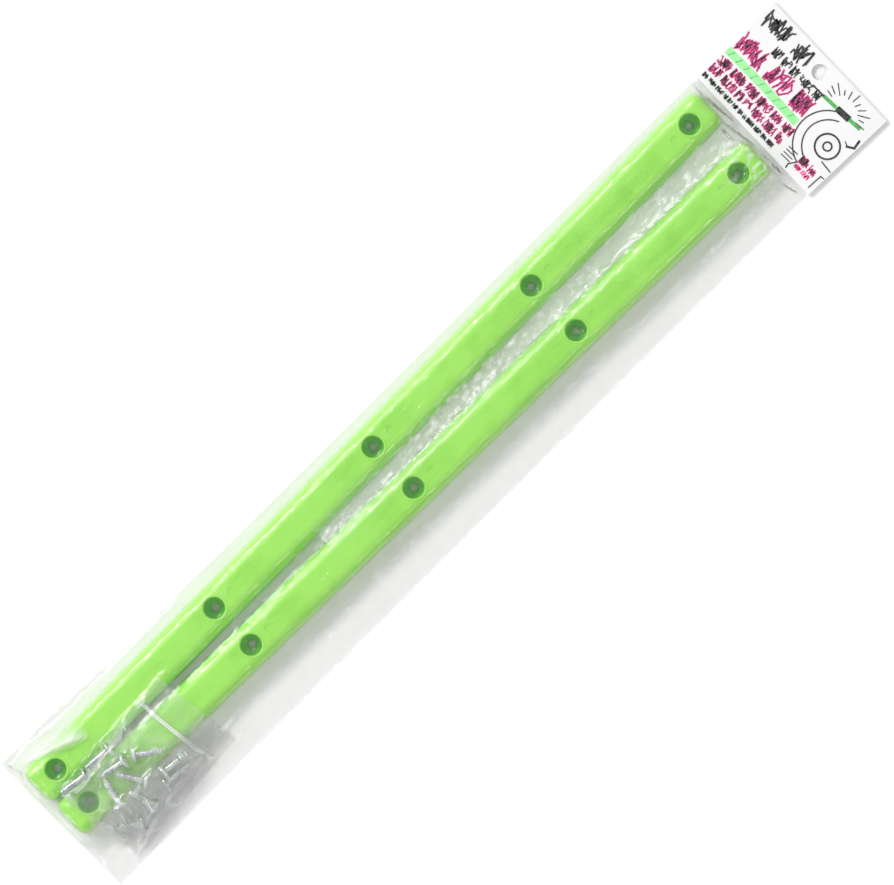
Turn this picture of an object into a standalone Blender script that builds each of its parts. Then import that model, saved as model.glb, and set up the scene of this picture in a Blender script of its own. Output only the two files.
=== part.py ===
"""Retail pack of two skateboard deck rails with their wood screws.

The pack lies flat: a clear film bag with both rails in it, a press-seal bag with
ten screws on top of the lower rail, and a folded card over the bag's neck.
Lengths are in millimetres here, and metres in the scene. +X runs along the rails
to the card, +Y across them, +Z up from the table.
"""

import math

import bmesh
import bpy
import numpy as np
from mathutils import Matrix, Vector

MM = 0.001

# Rails: two equal mouldings, each with five counterbored screw holes.
RAIL_LONG = 368.3
RAIL_WIDE = 17.2
RAIL_HIGH = 9.5
RAIL_X = -21.35
RAIL_LIFT = 0.6
RAIL_DRAFT = 1.6
RAIL_ROUND = 3.4
HOLE_PITCH = 86.5
HOLES = 5
BORE_R = 4.1
BORE_FLOOR = 3.8
SEAT_FLOOR = 1.8
THROUGH_R = 2.1
RAILS = {"upper_rail": (17.67, 0.49), "lower_rail": (-4.42, -0.944)}

# The bag: back film flat on the table, front film over what the bag holds.
FILM = 0.3
GAP = 0.3
BAG_X0 = -208.77
BAG_X1 = 164.7
STEEP = 2.5
POUCH_STEEP = 1.6
SHELF = 6.6
EVEN_PASSES = 9
RAIL_SLACK = (1.5, 0.5)

# The screws' own bag lies askew over the lower rail and the bag's empty side.
POUCH_END = (-198.3, -11.1)
POUCH_TURN = 5.6
POUCH_LONG = 59.0
POUCH_WIDE = 37.9
ZIP_AT = 47.0
ZIP_WIDE = 1.6
ZIP_HIGH = 0.5
POUCH_SLACK = 3.0
POUCH_SHELF = 7.3
SCREW_REACH = 1.6
SCREW_STEEP = 1.7
POUCH_REACH = 3.6
POUCH_TENT = 2.0
POUCH_PASSES = 5

# Wood screws, each given as the middle of its head's face, then its point.
SCREW_LONG = 12.7
HEAD_R = 3.3
HEAD_RIM = 0.3
SHANK_R = 1.6
POINT_LONG = 2.6
SCREWS = (
    ((-186.7, 6.5, 14.3), (-198.9, 8.7, 12.3)),
    ((-173.4, 7.5, 14.3), (-185.4, 8.4, 12.3)),
    ((-172.6, 0.1, 14.3), (-184.7, 2.4, 12.3)),
    ((-169.7, -0.7, 14.3), (-160.5, -7.2, 12.3)),
    ((-172.7, -11.8, 12.5), (-178.5, -2.1, 13.3)),
    ((-186.4, -11.1, 12.6), (-183.5, -0.2, 13.3)),
    ((-166.4, -13.6, 10.8), (-155.0, -14.7, 8.8)),
    ((-169.2, -17.4, 4.9), (-157.3, -18.4, 3.2)),
    ((-178.3, -19.8, 5.3), (-180.1, -9.8, 12.9)),
    ((-185.3, -21.6, 4.9), (-195.2, -15.6, 3.6)),
)

# The card: one sheet folded over the bag's neck, with a hole to hang it by.
CARD_AT = (187.0, -1.45)
CARD_TURN = -1.6
CARD_DEEP = 41.8
CARD_WIDE = 62.6
CARD = 0.35
CARD_HIGH = 1.75
CARD_HOLE_R = 3.175
HOLE_IN = 6.2
NECK_LOW = 0.6
NECK_THICK = 0.5
NECK_IN = (0.3, 24.0)
HINGE_X = 165.0


# ---------------------------------------------------------------- scene and helpers

for old in list(bpy.data.objects):
    bpy.data.objects.remove(old)
parts = bpy.data.collections.new("deck_rail_pack")
cutters = bpy.data.collections.new("cutters")
for group in (parts, cutters):
    bpy.context.scene.collection.children.link(group)


def material(name, colour, rough, metal=0.0, alpha=1.0):
    """A plain Principled material."""
    mat = bpy.data.materials.new(name)
    mat.use_nodes = True
    shader = mat.node_tree.nodes["Principled BSDF"]
    shader.inputs["Base Color"].default_value = (*colour, 1.0)
    shader.inputs["Roughness"].default_value = rough
    shader.inputs["Metallic"].default_value = metal
    shader.inputs["Alpha"].default_value = alpha
    mat.diffuse_color = (*colour, alpha)
    return mat


def add(name, bm, mat=None, group=parts):
    """Turns a bmesh in millimetres into an object of the parts or the cutters."""
    bmesh.ops.scale(bm, vec=(MM, MM, MM), verts=bm.verts)
    mesh = bpy.data.meshes.new(name)
    bm.to_mesh(mesh)
    bm.free()
    obj = bpy.data.objects.new(name, mesh)
    group.objects.link(obj)
    if mat:
        mesh.materials.append(mat)
    if group is cutters:
        obj.hide_render = True
        obj.display_type = "WIRE"
    return obj


def cut(obj, cutter):
    """Takes the cutter's shape out of the object."""
    boolean = obj.modifiers.new(cutter.name, "BOOLEAN")
    boolean.operation = "DIFFERENCE"
    boolean.solver = "EXACT"
    boolean.object = cutter


def turned(name, profile, sides, mat=None, group=parts):
    """A solid turned about Z from (radius, height) pairs, upwards from axis to axis."""
    bm = bmesh.new()
    verts = [bm.verts.new((radius, 0, z)) for radius, z in reversed(profile)]
    for a, b in zip(verts, verts[1:]):
        bm.edges.new((a, b))
    obj = add(name, bm, mat, group)
    screw = obj.modifiers.new("turn", "SCREW")
    screw.steps = screw.render_steps = sides
    screw.use_merge_vertices = True
    screw.merge_threshold = 0.01 * MM
    screw.use_normal_calculate = True
    return obj


def film(name, x, y, low, mat, thick):
    """A film through a grid of points, with its underside there and its thickness above."""
    rows, cols = x.shape
    bm = bmesh.new()
    bmesh.ops.create_grid(bm, x_segments=rows - 1, y_segments=cols - 1, size=0.5)
    for vert in bm.verts:
        i = round((vert.co.x + 0.5) * (rows - 1))
        j = round((vert.co.y + 0.5) * (cols - 1))
        vert.co = (x[i, j], y[i, j], low[i, j])
    obj = add(name, bm, mat)
    solid = obj.modifiers.new("thickness", "SOLIDIFY")
    solid.thickness = thick * MM
    solid.offset = 1
    solid.use_even_offset = True
    return obj


def upright(x, y, low):
    """How high a film's top stands over its underside, which is more on a slope."""
    dx = np.gradient(low, axis=0) / np.maximum(np.abs(np.gradient(x, axis=0)), 0.2)
    dy = np.gradient(low, axis=1) / np.maximum(np.abs(np.gradient(y, axis=1)), 0.2)
    return FILM * np.minimum(np.sqrt(1 + dx**2 + dy**2), 2.8)


def bridged(height, passes, keep=None):
    """A film can't follow narrow dips, so each pass lifts them to their neighbours' mean."""
    for _ in range(passes):
        mean = height.copy()
        mean[1:-1, 1:-1] = (
            height[:-2, 1:-1] + height[2:, 1:-1] + height[1:-1, :-2] + height[1:-1, 2:]
        ) / 4
        if keep is not None:
            mean[~keep] = height[~keep]
        height = np.maximum(height, mean)
    return height


def rail_y(name, x):
    """The rail's centre line."""
    middle, turn = RAILS[name]
    return middle + (x - RAIL_X) * math.tan(math.radians(turn))


def over_rails(x, y, slack=(0.0, 0.0), shelf=SHELF, steep=STEEP):
    """Height of a film's underside where it lies over both rails."""
    low_edge = rail_y("lower_rail", x) - shelf
    low_inner = rail_y("lower_rail", x) + shelf
    high_inner = rail_y("upper_rail", x) - shelf
    high_edge = rail_y("upper_rail", x) + shelf
    aside = np.maximum(low_edge - y, 0) + np.maximum(y - high_edge, 0)
    inset = RAIL_LONG / 2 - RAIL_WIDE / 2 + SHELF
    beyond = np.maximum(RAIL_X - inset - slack[0] - x, 0)
    beyond = beyond + np.maximum(x - RAIL_X - inset - slack[1], 0)
    valley = np.clip((y - low_inner) / np.maximum(high_inner - low_inner, 0.1), 0, 1)
    sag = 4 * valley * (1 - valley) * (0.5 + 0.2 * np.clip(high_inner - low_inner, 0, 12))
    return RAIL_LIFT + RAIL_HIGH + GAP - sag - steep * np.hypot(aside, beyond)


# ---------------------------------------------------------------- rails

green = material("rail_plastic", (0.36, 0.75, 0.15), 0.35)
HOLE_PROFILE = (
    (0.0, -1.0),
    (THROUGH_R, -1.0),
    (THROUGH_R, SEAT_FLOOR),
    (BORE_R, BORE_FLOOR),
    (BORE_R, RAIL_HIGH + 1),
    (0.0, RAIL_HIGH + 1),
)


def rail_blank(name):
    """A bar with drafted sides, and every edge rounded but those it stands on."""
    bm = bmesh.new()
    bmesh.ops.create_cube(bm, size=1)
    for vert in bm.verts:
        draft = RAIL_DRAFT if vert.co.z > 0 else 0.0
        vert.co.x *= RAIL_LONG - 2 * draft
        vert.co.y *= RAIL_WIDE - 2 * draft
        vert.co.z = (vert.co.z + 0.5) * RAIL_HIGH
    weight = bm.edges.layers.float.new("bevel_weight_edge")
    for edge in bm.edges:
        edge[weight] = float(max(vert.co.z for vert in edge.verts) > RAIL_HIGH / 2)
    rail = add(name, bm, green)
    bevel = rail.modifiers.new("rounding", "BEVEL")
    bevel.limit_method = "WEIGHT"
    bevel.width = RAIL_ROUND * MM
    bevel.segments = 5
    return rail


for name, (middle, turn) in RAILS.items():
    rail = rail_blank(name)
    rail.location = (RAIL_X * MM, middle * MM, RAIL_LIFT * MM)
    rail.rotation_euler.z = math.radians(turn)
    for k in range(HOLES):
        hole = turned(f"{name}_hole_{k + 1}", HOLE_PROFILE, 28, group=cutters)
        hole.parent = rail
        hole.location.x = (k - (HOLES - 1) / 2) * HOLE_PITCH * MM
        cut(rail, hole)


# ---------------------------------------------------------------- screws

zinc = material("zinc_plate", (0.66, 0.67, 0.68), 0.3, metal=1.0)
SCREW_PROFILE = (
    (0.0, -SCREW_LONG),
    (SHANK_R, POINT_LONG - SCREW_LONG),
    (SHANK_R, SHANK_R - HEAD_R - HEAD_RIM),
    (HEAD_R, -HEAD_RIM),
    (HEAD_R, 0.0),
    (0.0, 0.0),
)


def screw_shape():
    """A countersunk wood screw with a cross recess, its point down, as one mesh."""
    blank = turned("screw_blank", SCREW_PROFILE, 18, zinc)
    arms = []
    for k in range(2):
        bm = bmesh.new()
        bmesh.ops.create_cube(bm, size=1)
        for vert in bm.verts:
            wide = 1.0 if vert.co.z > 0 else 0.45
            vert.co = (vert.co.x * 3.4 * wide, vert.co.y * 0.8, vert.co.z * 2 - 0.5)
        arm = add(f"recess_{k + 1}", bm, group=cutters)
        arm.rotation_euler.z = k * math.pi / 2
        cut(blank, arm)
        arms.append(arm)
    graph = bpy.context.evaluated_depsgraph_get()
    mesh = bpy.data.meshes.new_from_object(blank.evaluated_get(graph))
    mesh.name = "screw"
    for used in (blank, *arms):
        bpy.data.objects.remove(used)
    return mesh


shape = screw_shape()
for k, (head, point) in enumerate(SCREWS):
    screw = bpy.data.objects.new(f"screw_{k + 1:02d}", shape)
    parts.objects.link(screw)
    screw.location = Vector(head) * MM
    screw.rotation_mode = "QUATERNION"
    screw.rotation_quaternion = (Vector(head) - Vector(point)).to_track_quat("Z", "Y")


# ---------------------------------------------------------------- the screws' bag

frosted = material("frosted_film", (0.86, 0.9, 0.88), 0.3, alpha=0.5)
press = material("zip_plastic", (0.93, 0.95, 0.94), 0.35, alpha=0.8)


def over_screws(x, y):
    """Height of a film tented over the screws."""
    tent = np.full(x.shape, -99.0)
    for head, point in SCREWS:
        for share in np.linspace(0, 1, 5):
            px, py, pz = (h + (p - h) * share for h, p in zip(head, point))
            reach = HEAD_R if share == 0 else SHANK_R
            away = np.maximum(np.hypot(x - px, y - py) - reach - SCREW_REACH, 0)
            tent = np.maximum(tent, pz + reach + GAP - SCREW_STEEP * away)
    return tent


zip_edges = (ZIP_AT - ZIP_WIDE / 2, ZIP_AT + ZIP_WIDE / 2)
along = np.concatenate(
    [np.linspace(0, zip_edges[0], 17), [ZIP_AT], np.linspace(zip_edges[1], POUCH_LONG, 5)]
)
across = np.linspace(-POUCH_WIDE / 2, POUCH_WIDE / 2, 21)
turn = math.radians(POUCH_TURN)
u, v = np.meshgrid(along, across, indexing="ij")
pouch_x = POUCH_END[0] + u * math.cos(turn) - v * math.sin(turn)
pouch_y = POUCH_END[1] + u * math.sin(turn) + v * math.cos(turn)

back_low = over_rails(pouch_x, pouch_y, shelf=POUCH_SHELF, steep=POUCH_STEEP)
back_low = np.maximum(back_low, FILM + GAP)
rise = upright(pouch_x, pouch_y, back_low)
back_top = back_low + rise
film("screw_bag_back", pouch_x, pouch_y, back_low, frosted, FILM)

step = GAP + ZIP_HIGH * rise / FILM
from_zip = np.maximum(np.abs(u - ZIP_AT) - ZIP_WIDE / 2, 0)
front_low = np.maximum(back_top + GAP, back_top + GAP + 2 * step - 0.8 * from_zip)
front_low = bridged(np.maximum(front_low, over_screws(pouch_x, pouch_y)), POUCH_PASSES)
front_top = front_low + upright(pouch_x, pouch_y, front_low)
film("screw_bag_front", pouch_x, pouch_y, front_low, frosted, FILM)

at_zip = (slice(16, 19), slice(1, -1))
for k, name in enumerate(("zip_rib", "zip_groove")):
    strip_low = back_top + GAP + k * step
    film(name, pouch_x[at_zip], pouch_y[at_zip], strip_low[at_zip], press, ZIP_HIGH)


# ---------------------------------------------------------------- the bag's films

clear = material("clear_film", (0.9, 0.92, 0.92), 0.15, alpha=0.35)


def bag_edges(x):
    """The bag's two long edges: its closed end flares."""
    low_y = -31.6 - 0.8 * np.exp((BAG_X0 - x) / 30)
    high_y = 29.8 + 3.5 * np.exp((BAG_X0 - x) / 55)
    return low_y, high_y


def section(x):
    """Where the front film has its points across the bag, at one place along it."""
    low_y, high_y = bag_edges(x)
    lower, upper = rail_y("lower_rail", x), rail_y("upper_rail", x)
    foot, shelf = SHELF + 3.95, SHELF + 0.1
    return np.concatenate(
        [
            [low_y, low_y + 0.8],
            np.linspace(low_y + 3.2, lower - foot, 5),
            np.linspace(lower - foot, lower - shelf, 3)[1:],
            np.linspace(lower - shelf, lower + shelf, 5)[1:],
            np.linspace(lower + shelf, upper - shelf, 3)[1:],
            np.linspace(upper - shelf, upper + shelf, 4)[1:],
            [min(upper + shelf + 2, high_y - 1.4), min(upper + foot, high_y - 0.4), high_y],
        ]
    )


bag_x = np.concatenate(
    [
        [BAG_X0, BAG_X0 + 0.7],
        np.linspace(-205.0, -133.0, 22),
        [-127.0, -115.0],
        np.linspace(-90.0, 120.0, 8),
        [140.0, 152.0, 158.0, 160.9, 162.2, 163.5, BAG_X1],
    ]
)
bag_y = np.array([section(x) for x in bag_x])
bag_x = np.repeat(bag_x[:, None], bag_y.shape[1], axis=1)
low = np.maximum(over_rails(bag_x, bag_y, RAIL_SLACK), FILM + GAP)
pouch_tops = np.stack([pouch_x, pouch_y, front_top], axis=-1).reshape(-1, 3)
for slack in (0.0, POUCH_SLACK):
    for top_x, top_y, top_z in pouch_tops:
        away = np.maximum(np.hypot(bag_x - top_x - slack, bag_y - top_y) - POUCH_REACH, 0)
        low = np.maximum(low, top_z + GAP - POUCH_TENT * away)
low[0] = low[:, 0] = low[:, -1] = FILM + GAP
low[-1] = FILM + 2 * GAP
low = bridged(low, EVEN_PASSES, bag_x < -128)
film("bag_front", bag_x, bag_y, low, clear, FILM)

flat_x = np.repeat(np.append(np.linspace(BAG_X0, -120, 8), [0.0, BAG_X1])[:, None], 2, axis=1)
flat_y = np.stack(bag_edges(flat_x[:, 0]), axis=1)
film("bag_back", flat_x, flat_y, np.zeros(flat_x.shape), clear, FILM)


# ---------------------------------------------------------------- card and neck

white = material("printed_card", (0.9, 0.9, 0.89), 0.6)
hinge = bpy.data.objects.new("card_hinge", None)
parts.objects.link(hinge)
hinge.location = (HINGE_X * MM, 0.0, CARD_HIGH * MM)


def folded_card():
    """A flat strip folded back on itself round a bend, then given its thickness inwards."""
    bend, deep = CARD_HIGH / 2, CARD_DEEP / 2
    angles = [math.radians(a) for a in range(-90, 91, 30)]
    path = [(deep - bend + bend * math.cos(a), bend + bend * math.sin(a)) for a in angles]
    path = [(-deep, 0.0), *path, (-deep, CARD_HIGH)]
    bm = bmesh.new()
    verts = [bm.verts.new((x, -CARD_WIDE / 2, z)) for x, z in path]
    edges = [bm.edges.new(pair) for pair in zip(verts, verts[1:])]
    made = bmesh.ops.extrude_edge_only(bm, edges=edges)["geom"]
    far = [item for item in made if isinstance(item, bmesh.types.BMVert)]
    bmesh.ops.translate(bm, vec=(0, CARD_WIDE, 0), verts=far)
    card = add("header_card", bm, white)
    solid = card.modifiers.new("thickness", "SOLIDIFY")
    solid.thickness = CARD * MM
    solid.use_even_offset = True
    solid.offset = -1
    return card


card = folded_card()
card.location = (CARD_AT[0] * MM, CARD_AT[1] * MM, 0.0)
card.rotation_euler.z = math.radians(CARD_TURN)
bm = bmesh.new()
bmesh.ops.create_cone(
    bm, cap_ends=True, segments=32, radius1=CARD_HOLE_R, radius2=CARD_HOLE_R, depth=6
)
punch = add("hang_hole", bm, group=cutters)
punch.parent = card
punch.location.x = (CARD_DEEP / 2 - HOLE_IN) * MM
cut(card, punch)

low_y, high_y = bag_edges(BAG_X1)
bm = bmesh.new()
bmesh.ops.create_cube(bm, size=1)
bmesh.ops.scale(bm, vec=(NECK_IN[1] - NECK_IN[0], high_y - low_y - 1, NECK_THICK), verts=bm.verts)
neck = add("bag_neck", bm, clear)
neck.location = (
    (HINGE_X + (NECK_IN[0] + NECK_IN[1]) / 2) * MM,
    (low_y + high_y) / 2 * MM,
    (NECK_LOW + NECK_THICK / 2) * MM,
)
for piece in (card, neck):
    piece.parent = hinge
    piece.matrix_parent_inverse = Matrix.Translation(-hinge.location)
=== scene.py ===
"""Looks for a hang pack of two skateboard deck rails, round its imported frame.

Lengths are in millimetres in each section, and in metres in the scene.
+X runs along the rails to the header card, +Y across them, +Z up from the table.
"""

import math
import random

import bmesh
import bpy
import numpy as np
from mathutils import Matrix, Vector, noise
from mathutils.bvhtree import BVHTree


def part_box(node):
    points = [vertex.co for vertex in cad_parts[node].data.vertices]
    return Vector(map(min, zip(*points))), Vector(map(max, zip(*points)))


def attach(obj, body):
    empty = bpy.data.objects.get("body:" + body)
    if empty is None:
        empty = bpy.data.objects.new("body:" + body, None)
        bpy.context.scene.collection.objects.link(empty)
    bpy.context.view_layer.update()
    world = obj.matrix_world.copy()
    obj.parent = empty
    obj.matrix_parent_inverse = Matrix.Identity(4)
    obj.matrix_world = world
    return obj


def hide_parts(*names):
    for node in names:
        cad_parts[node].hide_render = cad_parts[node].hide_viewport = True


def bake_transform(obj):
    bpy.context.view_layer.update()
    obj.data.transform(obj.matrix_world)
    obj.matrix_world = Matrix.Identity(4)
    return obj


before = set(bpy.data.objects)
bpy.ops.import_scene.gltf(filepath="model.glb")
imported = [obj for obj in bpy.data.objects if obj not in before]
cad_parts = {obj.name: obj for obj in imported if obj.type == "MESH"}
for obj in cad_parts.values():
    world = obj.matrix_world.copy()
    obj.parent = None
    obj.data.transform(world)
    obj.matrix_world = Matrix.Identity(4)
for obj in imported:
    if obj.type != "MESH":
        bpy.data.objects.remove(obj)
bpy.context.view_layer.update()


# ---------------------------------------------------------------- deck rails
# Each rail is a solid bar of lime glow-in-the-dark polyethylene, injection moulded. Its top edges
# are well rounded, and five counterbored holes take the screws that hold it under a deck.

MM = 0.001
RAIL_LONG = 368.3
RAIL_WIDE = 17.2
RAIL_HIGH = 9.5
RAIL_TURNS = {"upper_rail": 0.49, "lower_rail": -0.944}
SIDE_DRAFT = 1.6
SHOULDER = 3.4
FOOT_EDGE = 0.5
BAR_LENGTHS = 92
CUT_SHIFT = 0.13  # keeps the cuts across the bar off the holes' own corners
SCREW_HOLES = [-173.0, -86.5, 0.0, 86.5, 173.0]
COUNTERBORE = [  # radius and height, up from below the bar, with a chamfered mouth
    (0.0, -1.0),
    (1.15, -1.0),
    (1.9, 1.8),
    (3.7, 3.3),
    (4.0, 3.7),
    (4.1, 4.2),
    (4.12, 8.95),
    (4.22, 9.15),
    (4.75, 9.52),
    (5.6, 9.9),
    (0.0, 10.5),
]
HOLE_SIDES = 64
# Painted shade on the screw holes' walls: it reaches this far out from each hole's axis, over this
# span of height.
HOLE_WALL_R = 4.17
HOLE_DARK = 5.0  # this far down, a hole's wall has its full painted shade
HOLE_SHADED = (0.02, RAIL_HIGH - 0.2)
LIP_R = 4.75
LIP_THICK = 0.42
LIP_SUNK = 0.15
LIP_SIDES = 72
PIN_MARKS = [-163.7, -77.2, 9.3, 95.8, 164.6]
PIN_MARK_R = 1.5
PIN_MARK_DEEP = 0.3
PIN_SIDES = 32
GRIP_RIBS = 15
GRIP_FROM = 112.0
GRIP_PITCH = 2.6
GRIP_SIZE = (1.1, 3.4, 1.0)
GRIP_VARIES = 1.1
GRIP_SUNK = 0.18


def placed(name, data):
    """An object that shows the data, in the scene."""
    obj = bpy.data.objects.new(name, data)
    bpy.context.scene.collection.objects.link(obj)
    return obj


def link(name, bm):
    """An object from a bmesh in millimetres."""
    bmesh.ops.scale(bm, vec=(MM, MM, MM), verts=bm.verts)
    mesh = bpy.data.meshes.new(name)
    bm.to_mesh(mesh)
    bm.free()
    return placed(name, mesh)


def round_points(radius, sides):
    """Points evenly spaced round Z, from +X."""
    angles = [2 * math.pi * k / sides for k in range(sides)]
    return [(radius * math.cos(a), radius * math.sin(a)) for a in angles]


def lathe(name, profile, sides):
    """A solid turned about Z from (radius, height) pairs, both ends on the axis."""
    bm = bmesh.new()
    rings = []
    for radius, z in profile[1:-1]:
        rings.append([bm.verts.new((x, y, z)) for x, y in round_points(radius, sides)])
    for below, above in zip(rings, rings[1:]):
        for k in range(sides):
            n = (k + 1) % sides
            bm.faces.new((below[k], below[n], above[n], above[k]))
    foot = bm.verts.new((0, 0, profile[0][1]))
    crown = bm.verts.new((0, 0, profile[-1][1]))
    for k in range(sides):
        n = (k + 1) % sides
        bm.faces.new((rings[0][n], rings[0][k], foot))
        bm.faces.new((rings[-1][k], rings[-1][n], crown))
    return link(name, bm)


def hoop(name, profile, sides):
    """A closed ring turned about Z from a closed loop of (radius, height) pairs."""
    bm = bmesh.new()
    rings = []
    for k in range(sides):
        angle = 2 * math.pi * k / sides
        way_x, way_y = math.cos(angle), math.sin(angle)
        rings.append([bm.verts.new((r * way_x, r * way_y, z)) for r, z in profile])
    for k in range(sides):
        one, two = rings[k], rings[(k + 1) % sides]
        for i in range(len(profile)):
            n = (i + 1) % len(profile)
            bm.faces.new((one[i], two[i], two[n], one[n]))
    return link(name, bm)


def block(name, size, centre, taper=1.0):
    """A box whose foot is narrower than its top by the taper."""
    bm = bmesh.new()
    bmesh.ops.create_cube(bm, size=1)
    for vert in bm.verts:
        share = 1.0 if vert.co.z > 0 else taper
        vert.co = [c + p * s for c, p, s in zip(centre, vert.co, size)]
        vert.co.x = centre[0] + (vert.co.x - centre[0]) * share
    return link(name, bm)


def joined(target, tool, operation):
    """Cuts the tool out of the target, or adds it."""
    boolean = target.modifiers.new(tool.name, "BOOLEAN")
    boolean.operation = operation
    boolean.solver = "EXACT"
    boolean.object = tool


def finished_mesh(obj, tools, crease):
    """The object's mesh with its modifiers applied, smooth but for edges over the crease angle."""
    graph = bpy.context.evaluated_depsgraph_get()
    graph.update()
    mesh = bpy.data.meshes.new_from_object(obj.evaluated_get(graph))
    for used in [obj, *tools]:
        bpy.data.objects.remove(used)
    mesh.polygons.foreach_set("use_smooth", [True] * len(mesh.polygons))
    mesh.set_sharp_from_angle(angle=math.radians(crease))
    return mesh


def rail_mesh():
    """The bar from a drafted block: shoulders, holes, ejector pins' marks and grip ribs, with
    painted shade marked on the holes' walls.
    """
    bm = bmesh.new()
    bmesh.ops.create_cube(bm, size=1)
    for vert in bm.verts:
        draft = SIDE_DRAFT if vert.co.z > 0 else 0.0
        vert.co.x *= RAIL_LONG - 2 * draft
        vert.co.y *= RAIL_WIDE - 2 * draft
        vert.co.z = (vert.co.z + 0.5) * RAIL_HIGH
    upper = [e for e in bm.edges if max(v.co.z for v in e.verts) > RAIL_HIGH / 2]
    bmesh.ops.bevel(
        bm,
        geom=upper,
        offset=SHOULDER,
        segments=10,
        profile=0.5,
        affect="EDGES",
        clamp_overlap=True,
    )
    foot = [e for e in bm.edges if max(v.co.z for v in e.verts) < 0.01]
    bmesh.ops.bevel(bm, geom=foot, offset=FOOT_EDGE, segments=3, profile=0.5, affect="EDGES")
    for k in range(1, BAR_LENGTHS):
        everything = bm.verts[:] + bm.edges[:] + bm.faces[:]
        at = (k / BAR_LENGTHS - 0.5) * RAIL_LONG + CUT_SHIFT
        bmesh.ops.bisect_plane(bm, geom=everything, plane_co=(at, 0, 0), plane_no=(1, 0, 0))
    bar = link("bar", bm)
    tools = []
    for k, x in enumerate(SCREW_HOLES):
        hole = lathe(f"hole_{k}", COUNTERBORE, HOLE_SIDES)
        hole.location.x = x * MM
        tools.append(hole)
        joined(bar, hole, "DIFFERENCE")
        bead = [math.radians(a) for a in range(-180, 181, 30)]
        ring = [
            (LIP_R + LIP_THICK * math.cos(a), RAIL_HIGH - LIP_SUNK + LIP_THICK * math.sin(a))
            for a in bead
        ]
        lip = hoop(f"lip_{k}", ring[:-1], LIP_SIDES)
        lip.location.x = x * MM
        tools.append(lip)
        joined(bar, lip, "UNION")
    for k, x in enumerate(PIN_MARKS):
        deep = RAIL_HIGH - PIN_MARK_DEEP
        drafted = [(0, deep), (PIN_MARK_R, deep), (PIN_MARK_R + 0.1, 10), (0, 10)]
        mark = lathe(f"pin_{k}", drafted, PIN_SIDES)
        mark.location.x = x * MM
        tools.append(mark)
        joined(bar, mark, "DIFFERENCE")
    thick, even_long, tall = GRIP_SIZE
    for k in range(GRIP_RIBS):
        long = even_long + GRIP_VARIES * math.sin(2.1 * k)
        centre = (GRIP_FROM + k * GRIP_PITCH, 0.2, RAIL_HIGH - GRIP_SUNK)
        rib = block(f"rib_{k}", (thick, long, tall), centre)
        tools.append(rib)
        joined(bar, rib, "UNION")
    mesh = finished_mesh(bar, tools, crease=34)
    # Painted shade: each hole's wall gets a share that grows with depth, which darkens its colour.
    depth = mesh.attributes.new("hole_painted_shade", "FLOAT", "POINT")
    for k, vert in enumerate(mesh.vertices):
        x, y, z = vert.co / MM
        off = min(math.hypot(x - at, y) for at in SCREW_HOLES)
        inside = off < HOLE_WALL_R and HOLE_SHADED[0] < z < HOLE_SHADED[1]
        depth.data[k].value = min(1.0, (RAIL_HIGH - z) / HOLE_DARK) if inside else 0.0
    return mesh


def nodes_of(name):
    """A new node material: its node maker, its linker and its Principled shader."""
    mat = bpy.data.materials.new(name)
    mat.use_nodes = True
    tree = mat.node_tree

    def node(kind, **sockets):
        made = tree.nodes.new(kind)
        for key, value in sockets.items():
            made.inputs[key.replace("_", " ")].default_value = value
        return made

    return mat, tree, node, tree.links.new, tree.nodes["Principled BSDF"]


def two_tones(node, low_at, low, high_at, high):
    """A colour ramp from the low tone to the high one."""
    ramp = node("ShaderNodeValToRGB")
    for stop, at, tone in zip(ramp.color_ramp.elements, (low_at, high_at), (low, high)):
        stop.position = at
        stop.color = (*tone, 1)
    return ramp


def glow_plastic():
    """Milky lime polyethylene: faint flow streaks, slight mottling and a fine satin grain, and
    painted shade darkening the screw holes' walls with depth.
    """
    mat, tree, node, wire, shader = nodes_of("glow_plastic")
    where = node("ShaderNodeTexCoord")
    stretch = node("ShaderNodeMapping", Scale=(18, 160, 160))
    streaks = node("ShaderNodeTexNoise", Scale=1.0, Detail=3.0, Roughness=0.55)
    mottle = node("ShaderNodeTexNoise", Scale=70.0, Detail=4.0, Roughness=0.6)
    grain = node("ShaderNodeTexNoise", Scale=2600.0, Detail=2.0)
    both = node("ShaderNodeMath")
    both.operation = "ADD"
    tint = two_tones(node, 0.72, (0.295, 0.72, 0.065), 1.0, (0.36, 0.79, 0.1))
    # Painted shade: the holes' walls are mixed towards this darker green, more the deeper down.
    deep = node("ShaderNodeAttribute")
    deep.attribute_name = "hole_painted_shade"
    painted_hole_shade = node("ShaderNodeMix")
    painted_hole_shade.data_type = "RGBA"
    painted_hole_shade.inputs["B"].default_value = (0.17, 0.66, 0.015, 1)
    sheen = node("ShaderNodeMapRange", From_Min=0.3, From_Max=0.7, To_Min=0.32, To_Max=0.5)
    bump = node("ShaderNodeBump", Strength=0.12, Distance=0.0002)
    wire(where.outputs["Object"], stretch.inputs["Vector"])
    wire(stretch.outputs["Vector"], streaks.inputs["Vector"])
    for pattern in (mottle, grain):
        wire(where.outputs["Object"], pattern.inputs["Vector"])
    wire(streaks.outputs["Fac"], both.inputs[0])
    wire(mottle.outputs["Fac"], both.inputs[1])
    wire(both.outputs[0], tint.inputs["Fac"])
    wire(tint.outputs["Color"], painted_hole_shade.inputs["A"])
    wire(deep.outputs["Fac"], painted_hole_shade.inputs["Factor"])
    wire(painted_hole_shade.outputs["Result"], shader.inputs["Base Color"])
    wire(mottle.outputs["Fac"], sheen.inputs["Value"])
    wire(sheen.outputs["Result"], shader.inputs["Roughness"])
    wire(grain.outputs["Fac"], bump.inputs["Height"])
    wire(bump.outputs["Normal"], shader.inputs["Normal"])
    shader.inputs["Subsurface Weight"].default_value = 0.5
    shader.inputs["Subsurface Radius"].default_value = (0.6, 1.0, 0.3)
    shader.inputs["Subsurface Scale"].default_value = 0.005
    return mat


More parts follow.
